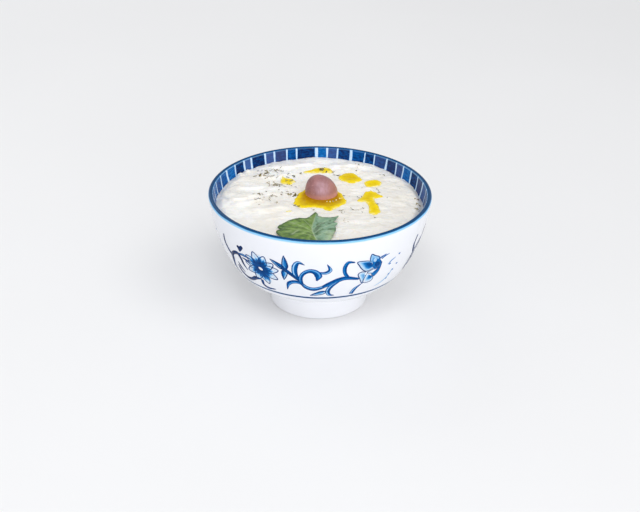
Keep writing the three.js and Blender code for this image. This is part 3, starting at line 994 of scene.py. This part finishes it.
def distance_to_outline(points, outline):
    """The distance from each point to a closed outline, and whether it is inside."""
    ends = np.roll(outline, -1, axis=0)
    nearest = np.full(len(points), 1e9)
    inside = np.zeros(len(points), bool)
    x, y = points[:, 0], points[:, 1]
    for (ax, ay), (bx, by) in zip(outline, ends):
        dx, dy = bx - ax, by - ay
        t = np.clip(((x - ax) * dx + (y - ay) * dy) / max(dx * dx + dy * dy, 1e-12), 0, 1)
        nearest = np.minimum(nearest, np.hypot(x - ax - t * dx, y - ay - t * dy))
        crosses = (ay > y) != (by > y)
        inside ^= crosses & (x < ax + (y - ay) * dx / (dy if dy else 1e-12))
    return nearest, inside


def pool_mesh(corners, thickness, seed):
    """Points of a thin closed drop that swells away from its edge, how far in each one is, and the faces."""
    spacing = 0.45
    outline = spline(corners, 10, closed=True)
    centre = outline.mean(0)
    ragged = 1 + 0.035 * value_noise(outline[:, 0] / 1.4, outline[:, 1] / 1.4, seed)
    outline = centre + (outline - centre) * ragged[:, None]
    low = outline.min(0)
    high = outline.max(0)
    gx, gy = np.meshgrid(np.arange(low[0], high[0], spacing), np.arange(low[1], high[1], spacing))
    gx = gx + spacing / 2 * (np.arange(len(gx)) % 2)[:, None]
    grid = np.c_[gx.ravel(), gy.ravel()]
    nearest, inside = distance_to_outline(grid, outline)
    flat = np.vstack([outline, grid[inside & (nearest > spacing * 0.6)]])
    rim = pairs_round(list(range(len(outline))))
    laid, _, cells, *_ = delaunay_2d_cdt([Vector(p) for p in flat], rim, [], 1, 1e-6)
    flat = np.array(laid)
    nearest, _ = distance_to_outline(flat, outline)
    swell = np.sqrt(1 - (1 - np.clip(nearest / 1.8, 0, 1)) ** 2)
    surface = dip_height(flat[:, 0], flat[:, 1])
    calm = 0.7 * dip_base(flat[:, 0], flat[:, 1]) + 0.3 * surface
    top = np.maximum(surface + 0.02, calm * swell + surface * (1 - swell)) + thickness * swell
    points = np.vstack([np.c_[flat, top], np.c_[flat, np.minimum(surface, top) - POOL_SINK]])
    sides = {pair for cell in cells for pair in pairs_round(list(cell))}
    edges = sorted((a, b) for a, b in sides if (b, a) not in sides)
    return points, nearest, shell_faces([tuple(cell) for cell in cells], edges, len(flat))


def ball_points(radius, rings, sides):
    """The lowest point of a ball, rings of points and the highest point."""
    up = np.linspace(-math.pi / 2, math.pi / 2, rings + 2)[1:-1]
    turn = np.arange(sides) / sides * TAU
    out = radius * np.cos(up)[:, None]
    body = np.stack([out * np.cos(turn), out * np.sin(turn), radius * np.sin(up)[:, None] + 0 * turn], -1)
    return np.vstack([[[0, 0, -radius]], body.reshape(-1, 3), [[0, 0, radius]]])


def make_oil(bubble_rings=5, bubble_sides=12):
    points = []
    faces = []
    depths = []
    count = 0

    def add(more_points, more_faces, depth):
        nonlocal count
        points.append(more_points)
        faces.extend(tuple(count + i for i in face) for face in more_faces)
        depths.append(depth)
        count += len(more_points)

    for number, (corners, thickness, deep) in enumerate(POOLS):
        pool, nearest, cells = pool_mesh(corners, thickness, 41 + number)
        flat = pool[: len(nearest)]
        reach = np.clip(nearest / 3.2, 0, 1)
        # Round the olive the colour is made deeper: partly deeper oil, partly painted shade of the olive.
        olive_shade_and_depth = np.exp(-((np.hypot(flat[:, 0] - 0.5, flat[:, 1] - 6.5) / 11.5) ** 4)) if number == 0 else 0
        add(pool, cells, np.tile(deep * (0.25 + 0.75 * reach) * (0.68 + 0.5 * olive_shade_and_depth), 2))
    for x, y, radius in BUBBLES:
        bubble = ball_points(radius, bubble_rings, bubble_sides) + [x, y, surface_under(x, y) + 0.3 * radius]
        add(bubble, capped_rings(bubble_rings, bubble_sides), np.full(len(bubble), 0.04))
    oil = new_object("olive_oil", np.vstack(points), faces, (oil_material(),))
    set_attribute(oil, "depth", np.concatenate(depths))
    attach(oil, "root")
    return oil


# ---------- Olive ----------
OLIVE_RADIUS = 8.4
OLIVE_LENGTH = 19.6
OLIVE_TAPER = 0.11
OLIVE_CENTRE = (0.3, 8.8, 57)
OLIVE_LEAN = 0.43
OLIVE_LEAN_TOWARDS = 3.45


def make_olive(rings=55, segments=96):
    """The leaning egg shape, with shallow dents and faint wrinkles that run lengthwise."""
    a = np.linspace(-math.pi / 2, math.pi / 2, rings + 2)[1:-1]
    turn = np.arange(segments) / segments * TAU
    up, round_ = np.meshgrid(a, turn, indexing="ij")
    dents = 0.2 * fractal_noise(1.6 * np.cos(round_) + 9, 1.6 * np.sin(round_) + 1.3 * up, 51)
    wrinkles = 0.035 * fractal_noise(6 * np.cos(round_) + 3, 6 * np.sin(round_) + 1.2 * up, 57)
    radius = OLIVE_RADIUS * np.cos(up) * (1 - OLIVE_TAPER * np.sin(up))
    radius = radius + (dents + wrinkles - 0.1) * np.cos(up)
    tip = OLIVE_LENGTH / 2 - 0.05
    body = np.stack([radius * np.cos(round_), radius * np.sin(round_), tip * np.sin(up)], -1).reshape(-1, 3)
    points = np.vstack([[[0, 0, -tip]], body, [[0, 0, tip]]])
    turned = Matrix.Rotation(OLIVE_LEAN_TOWARDS, 3, "Z") @ Matrix.Rotation(OLIVE_LEAN, 3, "Y")
    points = points @ np.array(turned).T + np.array(OLIVE_CENTRE)
    olive = new_object("kalamata_olive", points, capped_rings(rings, segments), (olive_material(),))
    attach(olive, "root")
    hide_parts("olive")
    return olive


# ---------- Parsley leaf ----------
LEAF_BASE = (-1.4, -46.0)
LEAF_OUTLINE = [
    *((-0.2, -48.6), (3.4, -47.8), (5.6, -45.0), (6.6, -40.4), (7.8, -36.4), (8.0, -33.8), (7.6, -31.4)),
    *((8.8, -28.8), (6.7, -27.2), (7.7, -24.8), (9.4, -20.8), (6.8, -22.0), (4.8, -22.3), (2.9, -21.8)),
    *((1.0, -21.2), (-0.7, -19.8), (-1.1, -17.0), (-2.4, -16.0), (-4.5, -20.2), (-6.3, -23.4), (-9.4, -23.7)),
    *((-11.9, -24.7), (-15.4, -27.0), (-18.1, -30.1), (-20.7, -34.2), (-18.9, -36.0), (-21.1, -38.6)),
    *((-20.3, -41.4), (-18.0, -44.6), (-14.0, -47.4), (-9.0, -48.8), (-3.4, -49.0)),
]
LEAF_MIDRIB = [(-1.4, -46.0), (-1.8, -43.0), (-2.9, -38.8), (-3.8, -33.4), (-3.4, -28.8), (-1.8, -17.4)]
# Side veins, each from the midrib to a lobe.
LEAF_VEINS = [
    [(-2.4, -41.0), (-10.0, -40.6), (-20.0, -38.8)],
    [(-2.9, -38.8), (-10.6, -36.6), (-19.6, -34.2)],
    [(-3.6, -35.4), (-9.0, -31.8), (-15.0, -27.8)],
    [(-3.8, -32.4), (-6.6, -27.8), (-8.8, -24.4)],
    [(-3.7, -33.8), (1.6, -27.0), (8.6, -21.6)],
    [(-3.0, -38.4), (2.4, -33.0), (8.0, -29.2)],
    [(-2.2, -41.4), (2.2, -38.4), (6.8, -36.0)],
]
LEAF_STALK = [(-1.4, -46.0), (-1.6, -48.2), (-0.8, -50.6)]


def leaf_veins(x, y):
    """How strongly a vein shows at a point of the blade."""
    away, _, place = nearest_on_curve(x, y, spline(LEAF_MIDRIB, 4))
    strength = np.exp(-((away / (0.5 - 0.3 * place)) ** 2))
    for corners in LEAF_VEINS:
        away, _, place = nearest_on_curve(x, y, spline(corners, 4))
        strength = np.maximum(strength, 0.8 * np.exp(-((away / (0.3 - 0.14 * place)) ** 2)))
    return strength


def leaf_height(x, y):
    """The blade's height: it follows the dip, is cupped beside the midrib and waves a little at its edge."""
    away, side, _ = nearest_on_curve(x, y, spline(LEAF_MIDRIB, 4))
    rise = 0.7 * (1 - np.exp(-((away / 4) ** 2))) + np.where(side > 0, 0.3, 0) * smoothstep(0, 3, away)
    wave = 0.35 * fractal_noise(x / 5, y / 5, 61)
    return np.maximum(dip_base(x, y) + 0.45 + rise + wave, dip_height(x, y) + 0.35)


def make_leaf(rings=40, thickness=0.3):
    """Two layers of points fanned out from the base, and a short stalk."""
    base = np.array(LEAF_BASE)
    edge = spline(LEAF_OUTLINE, 9)
    spokes = len(edge)
    share = np.linspace(0.02, 1, rings)
    grid = base + (edge - base)[:, None, :] * share[None, :, None]
    x, y = grid[:, :, 0], grid[:, :, 1]
    vein = leaf_veins(x, y)
    puckers = 0.18 * fractal_noise(x / 1.8, y / 1.8, 67)
    z = leaf_height(x, y) + puckers * (1 - vein) - 0.25 * vein
    top = np.stack([x, y, z], -1).reshape(-1, 3)
    at = np.arange(spokes * rings).reshape(spokes, rings)
    faces = shell_faces(grid_cells(at), pairs_round(grid_border(at)), spokes * rings)
    stalk, sides = leaf_stalk(2 * spokes * rings)
    points = np.vstack([top, top - [0, 0, thickness], stalk])
    leaf = new_object("parsley_blade", points, faces + sides, (leaf_material(),))
    away, side, _ = nearest_on_curve(x, y, spline(LEAF_MIDRIB, 4))
    # The half right of the midrib, which gets the painted sheen; the other half is coloured as lit.
    right = smoothstep(-0.5, 0.5, -side * away)
    out = np.arctan2(y + 36, x + 3.2)
    reach = np.hypot(x + 3.2, y + 36)
    streaks = fractal_noise(out * 5.5 + 20, reach / 7, 73) + 0.6 * fractal_noise(x / 1.6, y / 1.6, 79)
    # Painted shade: a dark patch in the hollow of the cup beside the midrib. The dark attribute holds it
    # together with streaks along the veins and a darker edge.
    hollow = np.exp(-(((x + 1.2) / 2.1) ** 2) - ((y + 37.0) / 3.6) ** 2)
    rim = smoothstep(0.93, 0.985, np.broadcast_to(share, x.shape)) * (0.35 + 0.65 * (1 - right))
    dark = np.clip(smoothstep(-0.15, 0.7, streaks) * 0.9 + hollow + rim, 0, 1) * (1 - vein)
    slit = np.exp(-((nearest_on_curve(x, y, np.array([(-13.4, -41.6), (-10.4, -37.0)]))[0] / 0.4) ** 2))
    cream = smoothstep(1.5, 5.5, x) * (1 - smoothstep(-40, -35, y)) * 0.9
    pale = np.clip(0.75 * vein + 1.2 * slit + cream + 0.5 * smoothstep(0.1, 0.9, -streaks), 0, 1)
    for name, values in (("side", right), ("dark", dark), ("pale", pale)):
        set_attribute(leaf, name, np.append(np.tile(values.ravel(), 2), np.full(len(stalk), 0.4)))
    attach(leaf, "root")
    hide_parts("parsley_leaf")
    return leaf


def leaf_stalk(first, radius=0.55, sides=10):
    """A thin stalk that runs from the base of the blade over the dip, with faces numbered from first."""
    curve = spline(LEAF_STALK, 4)
    turn = np.arange(sides) / sides * TAU
    height = leaf_height(curve[:, 0], curve[:, 1]) - 0.3
    rings = []
    for (x, y), z in zip(curve, height):
        rings.append(np.c_[x + radius * np.cos(turn), np.full(sides, y), z + radius * np.sin(turn)])
    at = first + np.arange(len(curve) * sides).reshape(-1, sides)
    faces = [at[0].tolist(), *flipped(bands(at)), at[-1, ::-1].tolist()]
    return np.vstack(rings), faces


# ---------- Dried herbs ----------
# Sprinkles: place, how far they scatter and how many flakes there are.
SPRINKLES = [
    *((-29, 33, 4.5, 24), (-23, 35.5, 3.0, 18), (-27, 27, 3.8, 22), (-33, 27, 3.0, 9), (-25, 16, 3.2, 20)),
    *((-20, 17, 2.8, 17), (-16.5, 7, 2.6, 20), (-13.5, 5, 1.4, 8), (-26, 3, 2.8, 12), (-31, 4, 3.4, 7)),
    *((-31, -6, 2.4, 5), (-23, -5, 2.0, 4), (-17, 29, 2.4, 9), (-18, 22, 2.0, 5), (-11, 32, 1.2, 4)),
    *((1, 36.8, 2.4, 24), (6, 35, 1.6, 8), (9.0, 29.5, 1.3, 8), (11, -14, 1.8, 9), (18, -12, 2.4, 9)),
    *((22, -9, 1.4, 4), (28, -21, 0.8, 4), (30, 12, 1.8, 5), (21, 4, 1.6, 4), (35, 3, 1.0, 2)),
    *((-12, -8, 0.9, 3), (-4, -11, 1.2, 3), (13, -23, 1.8, 4), (30, -6, 1.0, 2), (10, 12, 20.0, 20)),
    *((-24, 12, 12.0, 26), (33, 32, 3.0, 3), (20, 43, 4.0, 4), (50.8, 3, 0.9, 7), (50.6, -3, 1.1, 9)),
    (49.6, -9, 1.2, 6),
]


def herb_flake(rng, size):
    """A small curled scrap with an uneven outline: points of its upper and lower side, and its faces."""
    corners = rng.integers(5, 8)
    angles = np.sort(rng.uniform(0, TAU, corners))
    slim = rng.uniform(0.22, 0.6)
    radius = size / 2 * rng.uniform(0.7, 1.1, corners)
    rim = np.c_[radius * np.cos(angles), radius * np.sin(angles) * slim, np.zeros(corners)]
    rim[:, 2] = 0.35 * size * rng.uniform(-0.3, 0.3, corners) + 0.25 * rim[:, 0] ** 2 / size
    middle = np.array([[0, 0, 0.06 * size]])
    top = np.vstack([rim, middle])
    points = np.vstack([top, top - [0, 0, 0.12]])
    faces = []
    for k in range(corners):
        after = (k + 1) % corners
        faces.append((k, after, corners))
        faces.append((after + corners + 1, k + corners + 1, 2 * corners + 1))
        faces.append((k, k + corners + 1, after + corners + 1, after))
    return points, faces


def make_herbs():
    rng = np.random.default_rng(71)
    points = []
    faces = []
    tones = []
    count = 0
    for cx, cy, spread, number in SPRINKLES:
        for _ in range(number):
            x, y = rng.normal((cx, cy), spread * 0.6)
            dust = rng.uniform() < 0.3
            size = float(np.clip(rng.lognormal(-0.45 if dust else 0.44, 0.38), 0.4, 3.4))
            tilt = rng.normal(0, 0.35, 2)
            spin = rng.normal(0, 0.7)
            tone = rng.uniform(0.4, 0.9) if dust else rng.uniform(0.05, 0.7)
            flake, cells = herb_flake(rng, size)
            on_olive = math.hypot(x - 0.5, y - 8.5) < 9.5
            on_leaf = y < -14 and x < 10 and x > -22
            if math.hypot(x, y) > 51.5 or on_olive or on_leaf:
                continue
            turned = Matrix.Rotation(spin, 3, "Z") @ Matrix.Rotation(tilt[0], 3, "X")
            turned = np.array(turned @ Matrix.Rotation(tilt[1], 3, "Y"))
            points.append(flake @ turned.T + [x, y, surface_under(x, y) + 0.08])
            faces += [tuple(count + i for i in cell) for cell in cells]
            tones += [tone] * len(flake)
            count += len(flake)
    herbs = new_object("dried_herbs", np.vstack(points), faces, (herb_material(),), smooth=False)
    set_attribute(herbs, "tone", tones)
    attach(herbs, "root")
    return herbs


def surface_under(x, y):
    """The height that a flake lies on: the dip, or the oil where a pool covers it."""
    height = dip_height(np.array([x]), np.array([y]))[0]
    for corners, thickness, _ in POOLS:
        nearest, inside = distance_to_outline(np.array([[x, y]]), spline(corners, 6, closed=True))
        if inside[0]:
            height += thickness * math.sqrt(1 - (1 - min(1, nearest[0] / 1.8)) ** 2)
    return float(height)


# ---------- Studio ----------
def make_floor():
    half = 6000
    corners = [(-half, -half, 0), (half, -half, 0), (half, half, 0), (-half, half, 0)]
    floor = new_object("studio_floor", corners, [(0, 1, 2, 3)], (floor_material(),))


def make_area_light(name, place, target, size, watts, colour=(1, 1, 1)):
    data = bpy.data.lights.new(name, "AREA")
    data.shape = "RECTANGLE"
    data.size, data.size_y = size
    data.energy = watts
    data.color = colour
    light = bpy.data.objects.new(name, data)
    light.location = place
    light.rotation_euler = (Vector(target) - Vector(place)).to_track_quat("-Z", "Y").to_euler()
    bpy.context.scene.collection.objects.link(light)


def make_daylight(name, towards, strength, spread):
    data = bpy.data.lights.new(name, "SUN")
    data.energy = strength
    data.angle = math.radians(spread)
    light = bpy.data.objects.new(name, data)
    light.rotation_euler = Vector(towards).to_track_quat("Z", "Y").to_euler()
    bpy.context.scene.collection.objects.link(light)


def make_lights():
    bowl_middle = (0, 0, 0.045)
    make_area_light("window_right", (0.75, -0.75, 0.62), bowl_middle, (0.7, 0.9), 1.0, (1.0, 0.99, 0.97))
    make_area_light("window_back_left", (-0.55, 0.75, 0.7), bowl_middle, (0.6, 0.45), 1.0, (0.96, 0.98, 1.0))
    make_area_light("window_above", (-0.06, -0.7, 1.1), bowl_middle, (0.5, 0.5), 4.6, (0.93, 0.95, 1.0))
    make_daylight("high_daylight", (0.55, -0.35, 0.8), 0.5, 30)
    make_daylight("low_daylight", (0.12, -0.9, 0.17), 0.85, 50)
    world = bpy.data.worlds.new("studio_room")
    world.use_nodes = True
    background = world.node_tree.nodes["Background"]
    background.inputs["Color"].default_value = (0.93, 0.94, 0.96, 1)
    background.inputs["Strength"].default_value = 0.66
    bpy.context.scene.world = world


def make_camera():
    """A camera 576 mm from the middle of the rim and 25.3 degrees above it."""
    distance = 0.5762
    elevation = math.radians(25.3)
    down = math.radians(28.715)
    turn = math.radians(-0.05)
    roll = math.radians(0.9)
    data = bpy.data.cameras.new("camera")
    data.lens = 62.8
    data.sensor_width = 36
    camera = bpy.data.objects.new("camera", data)
    rim_height = BOWL_HEIGHT * MM
    camera.location = (0, -distance * math.cos(elevation), rim_height + distance * math.sin(elevation))
    aim = Matrix.Rotation(turn, 4, "Z") @ Matrix.Rotation(math.pi / 2 - down, 4, "X")
    camera.rotation_euler = (aim @ Matrix.Rotation(roll, 4, "Z")).to_euler()
    bpy.context.scene.collection.objects.link(camera)
    bpy.context.scene.camera = camera


bpy.context.scene.view_settings.view_transform = "Standard"
make_camera()
make_lights()
make_floor()
make_bowl()
make_painting()
make_dip()
make_oil()
make_olive()
make_leaf()
make_herbs()
